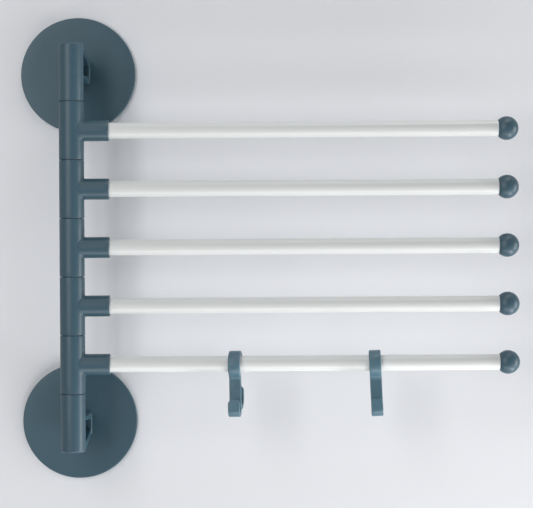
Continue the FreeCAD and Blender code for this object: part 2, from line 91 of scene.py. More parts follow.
def setCamera():
    data = bpy.data.cameras.new("camera")
    data.lens = cameraSet["lens"]
    data.sensor_width = cameraSet["sensor"]
    data.clip_start = cameraSet["near"]
    data.clip_end = cameraSet["far"]
    camera = bpy.data.objects.new("camera", data)
    bpy.context.scene.collection.objects.link(camera)
    look = Matrix.Rotation(math.radians(90), 4, "X")
    roll = Matrix.Rotation(math.radians(cameraSet["rollDegrees"]), 4, "Z")
    camera.matrix_world = look @ roll
    camera.location = (
        columnX + cameraSet["beside"],
        columnY - cameraSet["ahead"],
        barHeight(cameraSet["arm"]) - cameraSet["below"],
    )
    bpy.context.scene.camera = camera


setCamera()


# lamps: two tall soft boxes on the left, one above, one low in front, one underneath, two small ones
# at the lower right, a far one on the right and one behind

target = Vector((0.15, -0.03, 0.14))
lamps = {
    "softBoxNear": {"place": (-0.40, -1.30, 0.50), "size": (0.30, 1.5), "watts": 4.3},
    "softBoxLeft": {"place": (-0.78, -1.25, 0.55), "size": (0.22, 1.5), "watts": 6.3},
    "softBoxAbove": {"place": (0.40, -0.25, 1.20), "size": (1.20, 0.3), "watts": 4.9},
    "softBoxLow": {"place": (0.80, -1.10, -0.60), "size": (0.60, 0.5), "watts": 1.2},
    "softBoxUnder": {"place": (0.15, -0.45, -0.75), "size": (0.90, 0.4), "watts": 4.5},
    "softBoxCorner": {"place": (0.70, -0.16, -0.60), "size": (0.50, 0.2), "watts": 4.0},
    "softBoxRight": {"place": (0.95, -0.30, -0.35), "size": (0.30, 0.5), "watts": 1.2},
    "softBoxEdge": {"place": (1.55, -0.22, -0.10), "size": (0.30, 0.9), "watts": 9.8},
    "softBoxBehind": {"place": (0.45, 1.30, 0.55), "size": (0.80, 0.8), "watts": 5.0},
}
worldSet = {"light": (0.94, 0.97, 1.0, 1), "lightStrength": 0.10, "seen": (0.80, 0.81, 0.83, 1)}


def setLamps():
    for name, lamp in lamps.items():
        data = bpy.data.lights.new(name, "AREA")
        data.shape = "RECTANGLE"
        data.size, data.size_y = lamp["size"]
        data.energy = lamp["watts"]
        item = bpy.data.objects.new(name, data)
        bpy.context.scene.collection.objects.link(item)
        item.location = lamp["place"]
        item.rotation_euler = (target - Vector(lamp["place"])).to_track_quat("-Z", "Y").to_euler()


def setWorld():
    world = bpy.data.worlds.new("studio")
    bpy.context.scene.world = world
    world.use_nodes = True
    nodes = world.node_tree.nodes
    links = world.node_tree.links
    nodes.clear()
    out = nodes.new("ShaderNodeOutputWorld")
    mix = nodes.new("ShaderNodeMixShader")
    light = nodes.new("ShaderNodeBackground")
    seen = nodes.new("ShaderNodeBackground")
    path = nodes.new("ShaderNodeLightPath")
    shows = nodes.new("ShaderNodeMath")
    shows.operation = "MAXIMUM"
    light.inputs["Color"].default_value = worldSet["light"]
    light.inputs["Strength"].default_value = worldSet["lightStrength"]
    seen.inputs["Color"].default_value = worldSet["seen"]
    links.new(path.outputs["Is Camera Ray"], shows.inputs[0])
    links.new(path.outputs["Is Glossy Ray"], shows.inputs[1])
    links.new(shows.outputs[0], mix.inputs["Fac"])
    links.new(light.outputs[0], mix.inputs[1])
    links.new(seen.outputs[0], mix.inputs[2])
    links.new(mix.outputs[0], out.inputs["Surface"])


setLamps()
setWorld()
bpy.context.scene.view_settings.view_transform = "Standard"
print("camera, lamps and world are set")


# effects that several materials share, each a node group


def newGroup(name, inputs, outputs):
    group = bpy.data.node_groups.new(name, "ShaderNodeTree")
    kinds = {"value": "NodeSocketFloat", "colour": "NodeSocketColor"}
    for label, kind, value in inputs:
        socket = group.interface.new_socket(label, in_out="INPUT", socket_type=kinds[kind])
        socket.default_value = value
    for label, kind in outputs:
        group.interface.new_socket(label, in_out="OUTPUT", socket_type=kinds[kind])
    start = group.nodes.new("NodeGroupInput")
    end = group.nodes.new("NodeGroupOutput")
    return group, start, end


def maths(tree, operation, first, second, third=None):
    node = tree.nodes.new("ShaderNodeMath")
    node.operation = operation
    for socket, value in zip(node.inputs, (first, second, third)):
        if value is None:
            continue
        if isinstance(value, (int, float)):
            socket.default_value = value
        else:
            tree.links.new(value, socket)
    return node.outputs[0]


def noise(tree, vector, scale, detail, rough=0.5):
    node = tree.nodes.new("ShaderNodeTexNoise")
    tree.links.new(vector, node.inputs["Vector"])
    tree.links.new(scale, node.inputs["Scale"])
    node.inputs["Detail"].default_value = detail
    node.inputs["Roughness"].default_value = rough
    return node.outputs["Fac"]


def toneDriftGroup():
    # a colour that drifts a little lighter and darker over the piece
    group, start, end = newGroup(
        "toneDrift",
        [("Colour", "colour", (0.5, 0.5, 0.5, 1)), ("Amount", "value", 0.1), ("Scale", "value", 40.0)],
        [("Colour", "colour")],
    )
    where = group.nodes.new("ShaderNodeTexCoord").outputs["Object"]
    drift = noise(group, where, start.outputs["Scale"], detail=3.0)
    shift = maths(group, "SUBTRACT", drift, 0.5)
    factor = maths(group, "MULTIPLY_ADD", shift, start.outputs["Amount"], 1.0)
    scale = group.nodes.new("ShaderNodeVectorMath")
    scale.operation = "SCALE"
    group.links.new(start.outputs["Colour"], scale.inputs[0])
    group.links.new(factor, scale.inputs["Scale"])
    group.links.new(scale.outputs[0], end.inputs["Colour"])
    return group


def mouldSkinGroup():
    # a fine satin grain over the slow swell of shrinkage, as a mould leaves them
    group, start, end = newGroup(
        "mouldSkin",
        [
            ("Grain Scale", "value", 5200.0),
            ("Grain Height", "value", 0.004),
            ("Swell Scale", "value", 90.0),
            ("Swell Height", "value", 0.05),
            ("Roughness", "value", 0.42),
            ("Roughness Drift", "value", 0.08),
        ],
        [("Height", "value"), ("Roughness", "value")],
    )
    where = group.nodes.new("ShaderNodeTexCoord").outputs["Object"]
    grain = noise(group, where, start.outputs["Grain Scale"], detail=2.0, rough=0.6)
    swell = noise(group, where, start.outputs["Swell Scale"], detail=1.0)
    grainHeight = maths(group, "MULTIPLY", grain, start.outputs["Grain Height"])
    height = maths(group, "MULTIPLY_ADD", swell, start.outputs["Swell Height"], grainHeight)
    shift = maths(group, "SUBTRACT", swell, 0.5)
    drift, plain = start.outputs["Roughness Drift"], start.outputs["Roughness"]
    rough = maths(group, "MULTIPLY_ADD", shift, drift, plain)
    group.links.new(height, end.inputs["Height"])
    group.links.new(rough, end.inputs["Roughness"])
    return group


toneDrift = toneDriftGroup()
mouldSkin = mouldSkinGroup()


def useGroup(tree, group, values):
    node = tree.nodes.new("ShaderNodeGroup")
    node.node_tree = group
    for label, value in values.items():
        node.inputs[label].default_value = value
    return node


def newMaterial(name):
    material = bpy.data.materials.new(name)
    material.use_nodes = True
    tree = material.node_tree
    tree.nodes.clear()
    out = tree.nodes.new("ShaderNodeOutputMaterial")
    shader = tree.nodes.new("ShaderNodeBsdfPrincipled")
    tree.links.new(shader.outputs[0], out.inputs["Surface"])
    return material, tree, shader


# materials; drift is how far the tone moves and how fine its pattern is, skin is what differs from
# a plain moulded skin, and relief is the strength of the skin's bump

reliefDepth = 0.001
plasticSet = {
    "colour": (0.0278, 0.0712, 0.0980, 1),
    # painted light: the hooks get a lighter copy of the same blue, standing in for the stronger light from
    # below that falls on them
    "hookLitColour": (0.0660, 0.1400, 0.1840, 1),
    "drift": (0.10, 28.0),
    "skin": {"Roughness": 0.40},
    "relief": 0.5,
    "sockets": {"Specular IOR Level": 0.45},
}
barSet = {
    "colour": (0.700, 0.712, 0.706, 1),
    "drift": (0.03, 18.0),
    "skin": {
        "Roughness": 0.34,
        "Roughness Drift": 0.04,
        "Grain Scale": 1500.0,
        "Grain Height": 0.0003,
        "Swell Scale": 60.0,
        "Swell Height": 0.0003,
    },
    "relief": 0.5,
}
steelSet = {
    "colour": (0.60, 0.60, 0.61, 1),
    "drift": (0.15, 120.0),
    "skin": {"Roughness": 0.28, "Roughness Drift": 0.2},
    "relief": 0.4,
    "sockets": {"Metallic": 1.0},
}
washerSet = {
    "colour": (0.012, 0.013, 0.015, 1),
    "drift": (0.2, 60.0),
    "skin": {"Roughness": 0.5},
    "relief": 0.4,
}
foamSet = {
    "colour": (0.72, 0.73, 0.73, 1),
    "drift": (0.12, 220.0),
    "skin": {"Roughness": 0.9, "Grain Scale": 1600.0, "Grain Height": 0.12},
    "relief": 0.8,
}
wallSet = {
    "colour": (0.825, 0.836, 0.868, 1),
    "drift": (0.01, 6.0),
    "sockets": {"Roughness": 0.85, "Specular IOR Level": 0.15},
    "across": (-0.65, 0.90),
    "upward": (-0.42, 0.85),
    # painted shade: between these two heights the wall's colour is scaled from the first tone to the
    # second, so it is darker low down and paler higher up
    "heights": (-0.07, 0.33),
    "shadeTones": (0.925, 1.03),
}


def addTone(tree, look, colour):
    amount, scale = look["drift"]
    tone = useGroup(tree, toneDrift, {"Colour": look[colour], "Amount": amount, "Scale": scale})
    return tone.outputs["Colour"]


def setSockets(shader, look):
    for label, value in look.get("sockets", {}).items():
        shader.inputs[label].default_value = value


def skinned(name, look, colour="colour"):
    material, tree, shader = newMaterial(name)
    setSockets(shader, look)
    tree.links.new(addTone(tree, look, colour), shader.inputs["Base Color"])
    skin = useGroup(tree, mouldSkin, look["skin"])
    tree.links.new(skin.outputs["Roughness"], shader.inputs["Roughness"])
    bump = tree.nodes.new("ShaderNodeBump")
    bump.inputs["Distance"].default_value = reliefDepth
    bump.inputs["Strength"].default_value = look["relief"]
    tree.links.new(skin.outputs["Height"], bump.inputs["Height"])
    tree.links.new(bump.outputs["Normal"], shader.inputs["Normal"])
    return material


def wallPaintAndShade():
    # painted shade: the colour is darker towards its bottom and a little paler towards its top; it shows
    # only from its front, and lets the lamp behind light the object's back
    material, tree, shader = newMaterial("wallPaintAndShade")
    setSockets(shader, wallSet)
    spot = tree.nodes.new("ShaderNodeSeparateXYZ")
    tree.links.new(tree.nodes.new("ShaderNodeTexCoord").outputs["Object"], spot.inputs[0])
    # painted shade by height on the wall's colour
    rise = tree.nodes.new("ShaderNodeMapRange")
    tree.links.new(spot.outputs["Z"], rise.inputs["Value"])
    rise.inputs["From Min"].default_value, rise.inputs["From Max"].default_value = wallSet["heights"]
    rise.inputs["To Min"].default_value, rise.inputs["To Max"].default_value = wallSet["shadeTones"]
    shadedColour = tree.nodes.new("ShaderNodeVectorMath")
    shadedColour.operation = "SCALE"
    tree.links.new(addTone(tree, wallSet, "colour"), shadedColour.inputs[0])
    tree.links.new(rise.outputs["Result"], shadedColour.inputs["Scale"])
    tree.links.new(shadedColour.outputs[0], shader.inputs["Base Color"])
    path = tree.nodes.new("ShaderNodeLightPath")
    face = tree.nodes.new("ShaderNodeNewGeometry")
    fromBehind = maths(tree, "MULTIPLY", path.outputs["Is Camera Ray"], face.outputs["Backfacing"])
    clear = maths(tree, "MAXIMUM", fromBehind, path.outputs["Is Shadow Ray"])
    mix = tree.nodes.new("ShaderNodeMixShader")
    glass = tree.nodes.new("ShaderNodeBsdfTransparent")
    tree.links.new(clear, mix.inputs["Fac"])
    tree.links.new(shader.outputs[0], mix.inputs[1])
    tree.links.new(glass.outputs[0], mix.inputs[2])
    out = [node for node in tree.nodes if node.type == "OUTPUT_MATERIAL"][0]
    tree.links.new(mix.outputs[0], out.inputs["Surface"])
    return material


finishes = {
    "plastic": skinned("bluePlastic", plasticSet),
    # painted light: the hooks' lighter copy of the blue plastic
    "hookPlasticLit": skinned("hookPlasticLit", plasticSet, "hookLitColour"),
    "paint": skinned("whitePaint", barSet),
    "steel": skinned("drawnSteel", steelSet),
    "nylon": skinned("darkNylon", washerSet),
    "foam": skinned("foam", foamSet),
    "wall": wallPaintAndShade(),
}
print("finishes:", ", ".join(finishes))


def setWall():
    left, right = wallSet["across"]
    low, high = wallSet["upward"]
    mesh = bpy.data.meshes.new("wall")
    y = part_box("adhesive_pad_lower")[1].y
    corners = [(left, y, low), (right, y, low), (right, y, high), (left, y, high)]
    mesh.from_pydata(corners, [], [(0, 1, 2, 3)])
    wall = bpy.data.objects.new("wall", mesh)
    bpy.context.scene.collection.objects.link(wall)
    wall.data.materials.append(finishes["wall"])
    wall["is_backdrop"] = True


setWall()


# helpers that build pieces; lengths are in millimetres until a piece is set in the frame

tiny = 1e-6  # a radius or an angle below this counts as none
hair = 1e-9  # allowed for rounding between marks on a line
weld = 0.0001  # corners closer than this become one
softAngle = 40  # degrees; only sharper edges are rounded


def corner(before, here, after, radius, steps):
    # an arc that rounds one corner of an outline
    first = (Vector(before) - Vector(here)).normalized()
    second = (Vector(after) - Vector(here)).normalized()
    half = first.angle(second) / 2
    middle = Vector(here) + (first + second).normalized() * radius / math.sin(half)
    start = Vector(here) + first * radius / math.tan(half) - middle
    end = Vector(here) + second * radius / math.tan(half) - middle
    turn = start.angle(end)
    points = []
    for step in range(steps + 1):
        share = step / steps
        weight = math.sin((1 - share) * turn) / math.sin(turn), math.sin(share * turn) / math.sin(turn)
        points.append(tuple(middle + start * weight[0] + end * weight[1]))
    return points


def softOutline(corners, steps=5, closed=False):
    # corners are (a, b, radius); the ends of an open outline stay as they are
    count = len(corners)
    points = []
    for number, (a, b, radius) in enumerate(corners):
        if not radius or (not closed and number in (0, count - 1)):
            points.append((a, b))
            continue
        before = corners[number - 1][:2]
        after = corners[(number + 1) % count][:2]
        points += corner(before, (a, b), after, radius, steps)
    return points


def band(first, second):
    # the faces between two rings that have as many points
    count = len(first)
    faces = []
    for step in range(count):
        after = (step + 1) % count
        faces.append((first[step], first[after], second[after], second[step]))
    return faces


def lathe(profile, place, segments=96, closed=False):
    # profile points are (radius, along); place turns (along, across, up) into a point of the frame
    points = []
    rings = []
    for radius, along in profile:
        if radius < tiny:
            rings.append([len(points)] * segments)
            points.append(place(along, 0.0, 0.0))
            continue
        rings.append(list(range(len(points), len(points) + segments)))
        for step in range(segments):
            angle = 2 * math.pi * step / segments
            points.append(place(along, radius * math.cos(angle), radius * math.sin(angle)))
    pairs = list(zip(rings, rings[1:]))
    if closed:
        pairs.append((rings[-1], rings[0]))
    faces = [tuple(dict.fromkeys(loop)) for first, second in pairs for loop in band(first, second)]
    return points, [face for face in faces if len(face) > 2]


def stack(layers, place):
    # layers are (outline, level) pairs, each outline with as many (a, b) points
    count = len(layers[0][0])
    points = [place(a, b, level) for outline, level in layers for a, b in outline]
    rings = [range(start, start + count) for start in range(0, len(points), count)]
    faces = [tuple(rings[0]), tuple(rings[-1])]
    for first, second in zip(rings, rings[1:]):
        faces += band(first, second)
    return points, faces


def prism(outline, low, high, place):
    return stack([(outline, low), (outline, high)], place)


def newObject(name, points, faces):
    mesh = bpy.data.meshes.new(name)
    mesh.from_pydata([Vector(point) * mm for point in points], [], faces)
    form = bmesh.new()
    form.from_mesh(mesh)
    bmesh.ops.recalc_face_normals(form, faces=form.faces)
    form.to_mesh(mesh)
    form.free()
    item = bpy.data.objects.new(name, mesh)
    bpy.context.scene.collection.objects.link(item)
    return item


def settle(item):
    # takes the modifiers into the mesh
    graph = bpy.context.evaluated_depsgraph_get()
    mesh = bpy.data.meshes.new_from_object(item.evaluated_get(graph))
    item.modifiers.clear()
    item.data = mesh


def soften(item, width, segments=3):
    bevel = item.modifiers.new("soft", "BEVEL")
    bevel.width = width * mm
    bevel.segments = segments
    bevel.limit_method = "ANGLE"
    bevel.angle_limit = math.radians(softAngle)
    settle(item)


def mend(item):
    # welds corners that a cut left double, and closes a slot that it left open
    form = bmesh.new()
    form.from_mesh(item.data)
    bmesh.ops.remove_doubles(form, verts=form.verts, dist=weld * mm)
    bmesh.ops.holes_fill(form, edges=form.edges, sides=6)
    bmesh.ops.recalc_face_normals(form, faces=form.faces)
    form.to_mesh(item.data)
    form.free()


def combine(item, others, operation):
    for other in others:
        change = item.modifiers.new(operation.lower(), "BOOLEAN")
        change.operation = operation
        change.solver = "EXACT"
        change.object = other
        settle(item)
        bpy.data.objects.remove(other)
    mend(item)


def dress(item, body, node, finish, sharp=32):
    # shading, finish and place in the frame of a piece that stands for one solid
    item.data.shade_smooth()
    item.data.set_sharp_from_angle(angle=math.radians(sharp))
    item.data.materials.clear()
    item.data.materials.append(finishes[finish])
    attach(item, body)
    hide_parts(node)


def middleOf(node):
    low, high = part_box(node)
    return (low + high) / 2 / mm


columnAt = Vector((columnX, columnY, 0)) / mm


def alongBar(height):
    return lambda along, across, up: (along, columnAt.y + across, height + up)


def throughWall(height):
    return lambda along, across, up: (across, along, height + up)


# wall discs and the foam pads behind them

discSet = {"radius": 45.0, "front": -4.2, "back": -0.3, "edge": 0.9, "recess": 42.0, "floor": -1.2}
discSet |= {"rim": 9.0, "backEdge": 0.3, "recessLip": 0.2, "recessCorner": 0.3}
screwSet = {"apart": 8.4, "hole": 1.5, "head": 2.85, "wider": 1.2, "sink": 1.4, "past": 1.0}
padSet = {"radius": 41.7, "thickness": 1.2, "edge": 0.25, "rings": 16, "rim": 2}
padSet |= {"ripple": 0.05, "waveAlong": 0.35, "waveDeep": 2.0, "finerWave": 2.3}


def wallDisc(word):
    height = middleOf(f"wall_disc_{word}").z
    radius, front, back = discSet["radius"], discSet["front"], discSet["back"]
    recess, floor = discSet["recess"], discSet["floor"]
    profile = softOutline(
        [
            (0.0, front, 0),
            (radius - discSet["rim"], front, 0),
            (radius, front, discSet["edge"]),
            (radius, back, discSet["backEdge"]),
            (recess, back, discSet["recessLip"]),
            (recess, floor, discSet["recessCorner"]),
            (0.0, floor, 0),
        ],
        steps=7,
    )
    disc = newObject(f"wall_disc_{word}_moulding", *lathe(profile, throughWall(height), segments=128))
    hole, mouth = screwSet["hole"], screwSet["head"] + screwSet["wider"]
    sink, past = floor - screwSet["sink"], front - screwSet["past"]
    countersink = [(0.0, 0.0), (mouth, 0.0), (hole, sink), (hole, past), (0.0, past)]
    drills = []
    for side in (-1, 1):
        middle = height + side * screwSet["apart"] / 2
        drills.append(newObject(f"drill{side}", *lathe(countersink, throughWall(middle), segments=32)))
    combine(disc, drills, "DIFFERENCE")
    dress(disc, "root", f"wall_disc_{word}", "plastic")


def foamPad(word):
    height = middleOf(f"adhesive_pad_{word}").z
    radius, thick, edge, ripple = padSet["radius"], padSet["thickness"], padSet["edge"], padSet["ripple"]
    inner = radius - padSet["rim"]
    rings = [radius * step / padSet["rings"] for step in range(1, padSet["rings"])]
    profile = [(0.0, -thick)] + [(ring, -thick) for ring in rings]
    rim = [(inner, -thick, 0), (radius, -thick, edge), (radius, 0.0, edge), (inner, 0.0, 0)]
    profile += softOutline(rim)
    profile += [(ring, 0.0) for ring in reversed(rings)] + [(0.0, 0.0)]
    points, faces = lathe(profile, throughWall(height), segments=128)
    along, deep = padSet["waveAlong"], padSet["waveDeep"]
    soft = []
    for x, y, z in points:
        here = Vector((x * along, y * deep, z * along))
        pull = 1 - ripple / radius * (1 + mathNoise.noise(here))
        inwards = 1 if y < -thick / 2 else -1
        sunk = ripple * 0.5 * (1 + mathNoise.noise(here * padSet["finerWave"])) * inwards
        soft.append((x * pull, y + sunk, height + (z - height) * pull))
    pad = newObject(f"foam_pad_{word}", soft, faces)
    dress(pad, "root", f"adhesive_pad_{word}", "foam", sharp=60)


for word in ("lower", "upper"):
    wallDisc(word)
    foamPad(word)
print("wall discs and foam pads")


# towel bars and ball caps

barShape = {"start": 14.5, "end": 324.3, "radius": 6.0, "bore": 5.0, "lip": 0.25, "spans": 12}
capShape = {"ball": 9.0, "centre": 330.7, "flat": 324.3, "softFlat": 0.3, "flatSteps": 6, "ballSteps": 40}
capShape |= {"spigot": 4.6, "reach": 9.0, "chamfer": 0.3}
ribShape = {"count": 4, "width": 1.2, "start": 1.5, "past": 0.2}
ribShape |= {"foot": 3.6, "shoulder": 4.75, "top": 4.94, "bevel": 0.19}


def towelBar(number):
    start, end, lip = barShape["start"], barShape["end"], barShape["lip"]
    outer, bore, spans = barShape["radius"], barShape["bore"], barShape["spans"]
    corners = [(outer, start, lip)]
    corners += [(outer, start + (end - start) * step / spans, 0) for step in range(1, spans)]
    corners += [(outer, end, lip), (bore, end, lip), (bore, start, lip)]
    outline = softOutline(corners, steps=4, closed=True)
    place = alongBar(barHeight(number) / mm)
    bar = newObject(f"towel_bar_{number}_tube", *lathe(outline, place, closed=True))
    dress(bar, f"arm_{number}", f"towel_bar_{number}", "paint")


def ballCap(number):
    ball, centre, flat = capShape["ball"], capShape["centre"], capShape["flat"]
    soft, flatSteps, ballSteps = capShape["softFlat"], capShape["flatSteps"], capShape["ballSteps"]
    spigot, chamfer, tip = capShape["spigot"], capShape["chamfer"], flat - capShape["reach"]
    # a small arc between the flat and the ball, inside both
    near = flat + soft
    away = math.sqrt((ball - soft) ** 2 - (centre - near) ** 2)
    leave = math.atan2(away, near - centre)
    profile = [(0.0, tip), (spigot - chamfer, tip), (spigot, tip + chamfer), (spigot, flat)]
    for step in range(flatSteps + 1):
        angle = math.pi + (leave - math.pi) * step / flatSteps
        profile.append((away + soft * math.sin(angle), near + soft * math.cos(angle)))
    for step in range(1, ballSteps + 1):
        angle = leave * (1 - step / ballSteps)
        profile.append((ball * math.sin(angle), centre + ball * math.cos(angle)))
    profile[-1] = (0.0, centre + ball)
    height = barHeight(number) / mm
    cap = newObject(f"ball_cap_{number}_moulding", *lathe(profile, alongBar(height), segments=80))
    half, foot, shoulder = ribShape["width"] / 2, ribShape["foot"], ribShape["shoulder"]
    top, bevel = ribShape["top"], ribShape["bevel"]
    outline = [(-half, foot), (half, foot), (half, shoulder)]
    outline += [(half - bevel, top), (bevel - half, top), (-half, shoulder)]
    ribs = []
    for turn in range(ribShape["count"]):
        angle = 2 * math.pi * turn / ribShape["count"]

        def place(a, b, c, angle=angle):
            across = a * math.cos(angle) - b * math.sin(angle)
            up = a * math.sin(angle) + b * math.cos(angle)
            return (c, columnAt.y + across, height + up)

        rib = prism(outline, tip + ribShape["start"], flat + ribShape["past"], place)
        ribs.append(newObject(f"rib{turn}", *rib))
    combine(cap, ribs, "UNION")
    dress(cap, f"arm_{number}", f"ball_cap_{number}", "plastic")


for number in armNumbers:
    towelBar(number)
    ballCap(number)
print("bars and ball caps")


# swivel sleeves: one closed mesh, the column's wall laid out in rows with a patch round the stub

sleeveSet = {"radius": 9.5, "half": 22.0, "edge": 0.35, "shoulder": 16.0}
sleeveSet |= {"bore": 4.08, "boreEdge": 0.25, "boreRun": 3}
stubSet = {"radius": 8.0, "reach": 28.5, "edge": 0.5, "blend": 0.9, "blendRings": 7, "rings": 8}
stubSet |= {"socket": 6.03, "floor": 14.0, "mouthEdge": 0.15, "floorCorner": 0.4, "hub": 3.0, "lipRun": 3}
patchSet = {"columns": 72, "spread": 16, "height": 11.0, "rows": 10, "rings": 5}
seamSet = {"half": 0.22, "height": 0.045, "rise": 3}


def sleevePerimeter(rows):
    # the patch's edge in (column, row) steps, once round from the side that faces the wall
    spread, count = patchSet["spread"], patchSet["columns"]
    base = count // 2
    low = rows.index(-patchSet["height"])
    high = rows.index(patchSet["height"])
    middle = rows.index(0.0)
    right, left = base + spread, base - spread
    path = [(right, row) for row in range(middle, high)]
    path += [(column, high) for column in range(right, left, -1)]
    path += [(left, row) for row in range(high, low, -1)]
    path += [(column, low) for column in range(left, right)]
    path += [(right, row) for row in range(low, middle)]
    return path


def swivelSleeve(number):
    radius, half, edge = sleeveSet["radius"], sleeveSet["half"], sleeveSet["edge"]
    count, spread, tall = patchSet["columns"], patchSet["spread"], patchSet["height"]
    centre = Vector((0.0, columnAt.y, barHeight(number) / mm))
    points = []
    faces = []

    def add(x, y, z):
        points.append(tuple(centre + Vector((x, y, z))))
        return len(points) - 1

    def onColumn(turn, z, size=radius):
        return size * math.cos(turn), size * math.sin(turn), z

    halfRows, seam, shoulder = patchSet["rows"], seamSet["half"], sleeveSet["shoulder"]
    inner = {tall * step / halfRows for step in range(-halfRows, halfRows + 1)}
    inner = sorted(inner | {-seam, seam})
    rows = [-half + edge, -shoulder] + inner + [shoulder, half - edge]
    base = count // 2
    step = 2 * math.pi / count
    low, high = rows.index(-tall), rows.index(tall)
    grid = {}
    for column in range(count):
        for row, z in enumerate(rows):
            if abs(column - base) < spread and low < row < high:
                continue
            grid[column, row] = add(*onColumn((column - base) * step, z))
    for column in range(count):
        after = (column + 1) % count
        for row in range(len(rows) - 1):
            above = row + 1
            inPatch = base - spread <= column < base + spread and low <= row < high
            if not inPatch:
                faces.append((grid[column, row], grid[after, row], grid[after, above], grid[column, above]))

    # both ends, over the edge and down the bore
    ends = []
    for sign, row in ((-1, 0), (1, len(rows) - 1)):
        profile = softOutline(
            [
                (radius, half - 2 * edge, 0),
                (radius, half, edge),
                (sleeveSet["bore"], half, sleeveSet["boreEdge"]),
                (sleeveSet["bore"], half - sleeveSet["boreRun"], 0),
            ],
            steps=4,
        )[2:]
        ring = [grid[column, row] for column in range(count)]
        for size, z in profile:
            fresh = [add(*onColumn((column - base) * step, sign * z, size)) for column in range(count)]
            faces.extend(band(ring, fresh))
            ring = fresh
        ends.append(ring)
    faces.extend(band(*ends))

    # from the patch's edge in to the stub's foot, over the blend and out along the stub
    path = sleevePerimeter(rows)
    turns = [math.atan2(rows[row] / tall, (column - base) / spread) for column, row in path]
    size, blend = stubSet["radius"], stubSet["blend"]
    chain = [[grid[place] for place in path]]

    def joined(fresh):
        faces.extend(band(chain[-1], fresh))
        chain.append(fresh)

    feet = []
    for turn in turns:
        across, up = (size + blend) * math.cos(turn), (size + blend) * math.sin(turn)
        feet.append((math.asin(across / radius), up))
    for ring in range(1, patchSet["rings"] + 1):
        share = ring / patchSet["rings"]
        fresh = []
        for (column, row), (angle, up) in zip(path, feet):
            fromAngle, fromUp = (column - base) * step, rows[row]
            here = onColumn(fromAngle + (angle - fromAngle) * share, fromUp + (up - fromUp) * share)
            fresh.append(add(*here))
        joined(fresh)
    saddles = []
    for turn in turns:
        across = size * math.cos(turn)
        saddles.append(math.sqrt(radius**2 - across**2))
    for part in range(1, stubSet["blendRings"] + 1):
        share = part / stubSet["blendRings"]
        fresh = []
        for turn, (angle, up), saddle in zip(turns, feet, saddles):
            foot = Vector(onColumn(angle, up))
            bend = Vector((saddle, size * math.cos(turn), size * math.sin(turn)))
            out = bend + Vector((blend, 0, 0))
            fresh.append(add(*((1 - share) ** 2 * foot + 2 * share * (1 - share) * bend + share**2 * out)))
        joined(fresh)
    reach, stubEdge = stubSet["reach"], stubSet["edge"]

    def ridge(turn):
        # the fine line where the mould's halves met
        onSeam = min(abs(turn), abs(abs(turn) - math.pi)) < tiny
        return seamSet["height"] if onSeam else 0.0

    for part in range(1, stubSet["rings"] + 1):
        share = part / stubSet["rings"]
        fresh = []
        for turn, saddle in zip(turns, saddles):
            start = saddle + blend
            x = start + (reach - stubEdge - start) * share
            full = size + ridge(turn) * min(1.0, seamSet["rise"] * share)
            fresh.append(add(x, full * math.cos(turn), full * math.sin(turn)))
        joined(fresh)
    profile = softOutline(
        [
            (size, reach - stubSet["lipRun"], 0),
            (size, reach, stubEdge),
            (stubSet["socket"], reach, stubSet["mouthEdge"]),
            (stubSet["socket"], stubSet["floor"], stubSet["floorCorner"]),
            (stubSet["hub"], stubSet["floor"], 0),
        ],
        steps=5,
    )[2:]
    for around, x in profile:
        joined([add(x, around * math.cos(turn), around * math.sin(turn)) for turn in turns])
    hub = add(stubSet["floor"], 0, 0)
    last = chain[-1]
    faces.extend((here, after, hub) for here, after in zip(last, last[1:] + last[:1]))
    sleeve = newObject(f"swivel_sleeve_{number}_moulding", points, faces)
    dress(sleeve, f"arm_{number}", f"swivel_sleeve_{number}", "plastic", sharp=38)


for number in armNumbers:
    swivelSleeve(number)
print("swivel sleeves")


# end posts: the column's end, two wide plates and a web back to a foot with two screw bosses

postSet = {"radius": 9.5, "length": 44.0, "end": 1.4, "edge": 0.35}
postSet |= {"socket": 4.03, "depth": 30.0, "socketCorner": 0.4, "mouth": 0.25, "flare": 1.25, "past": 1.0}
gussetSet = {"atPost": 18.7, "atFoot": 17.2, "plate": 1.8, "haunch": 5.6, "slope": 4.6, "soft": 0.35}
gussetSet |= {"root": 1.5, "tip": -42.2, "top": -18.0, "toe": 0.15, "buried": 1}
gussetSet |= {"web": 4.0, "webInset": 1, "webSoft": 0.1}
footSet = {"width": 19.4, "end": -36.0, "back": 50.0, "front": 47.0, "corner": 2.0, "edge": 1.1}
footSet |= {"edgeSteps": 5, "backEdge": 0.3}
bossSet = {"radius": 3.4, "front": 39.0, "edge": 0.4, "middle": -25.2, "apart": 8.4}
bossSet |= {"hole": 1.5, "bottom": 40.1, "point": 0.6, "past": 1}


def endPost(word, top, turned):
    flip = -1 if turned else 1

    def place(x, y, z):
        return (flip * x, columnAt.y + y, top + flip * z)

    def upright(along, across, up):
        return place(across, up, along)

    radius, length = postSet["radius"], postSet["length"]
    profile = softOutline(
        [
            (0.0, -length, 0),
            (radius, -length, postSet["end"]),
            (radius, 0.0, postSet["edge"]),
            (0.0, 0.0, 0),
        ],
        steps=8,
    )
    post = newObject(f"end_post_{word}_moulding", *lathe(profile, upright))
    added = bracket(place)
    bosses, pilots = bossesAndPilots(place)
    socket, depth, past = postSet["socket"], postSet["depth"], postSet["past"]
    profile = softOutline(
        [
            (0.0, -depth, 0),
            (socket, -depth, postSet["socketCorner"]),
            (socket, -postSet["mouth"], 0),
            (socket + postSet["flare"], past, 0),
            (0.0, past, 0),
        ],
        steps=4,
    )
    bore = newObject("bore", *lathe(profile, upright))
    combine(post, added + bosses, "UNION")
    combine(post, pilots + [bore], "DIFFERENCE")
    dress(post, "root", f"end_post_{word}", "plastic")


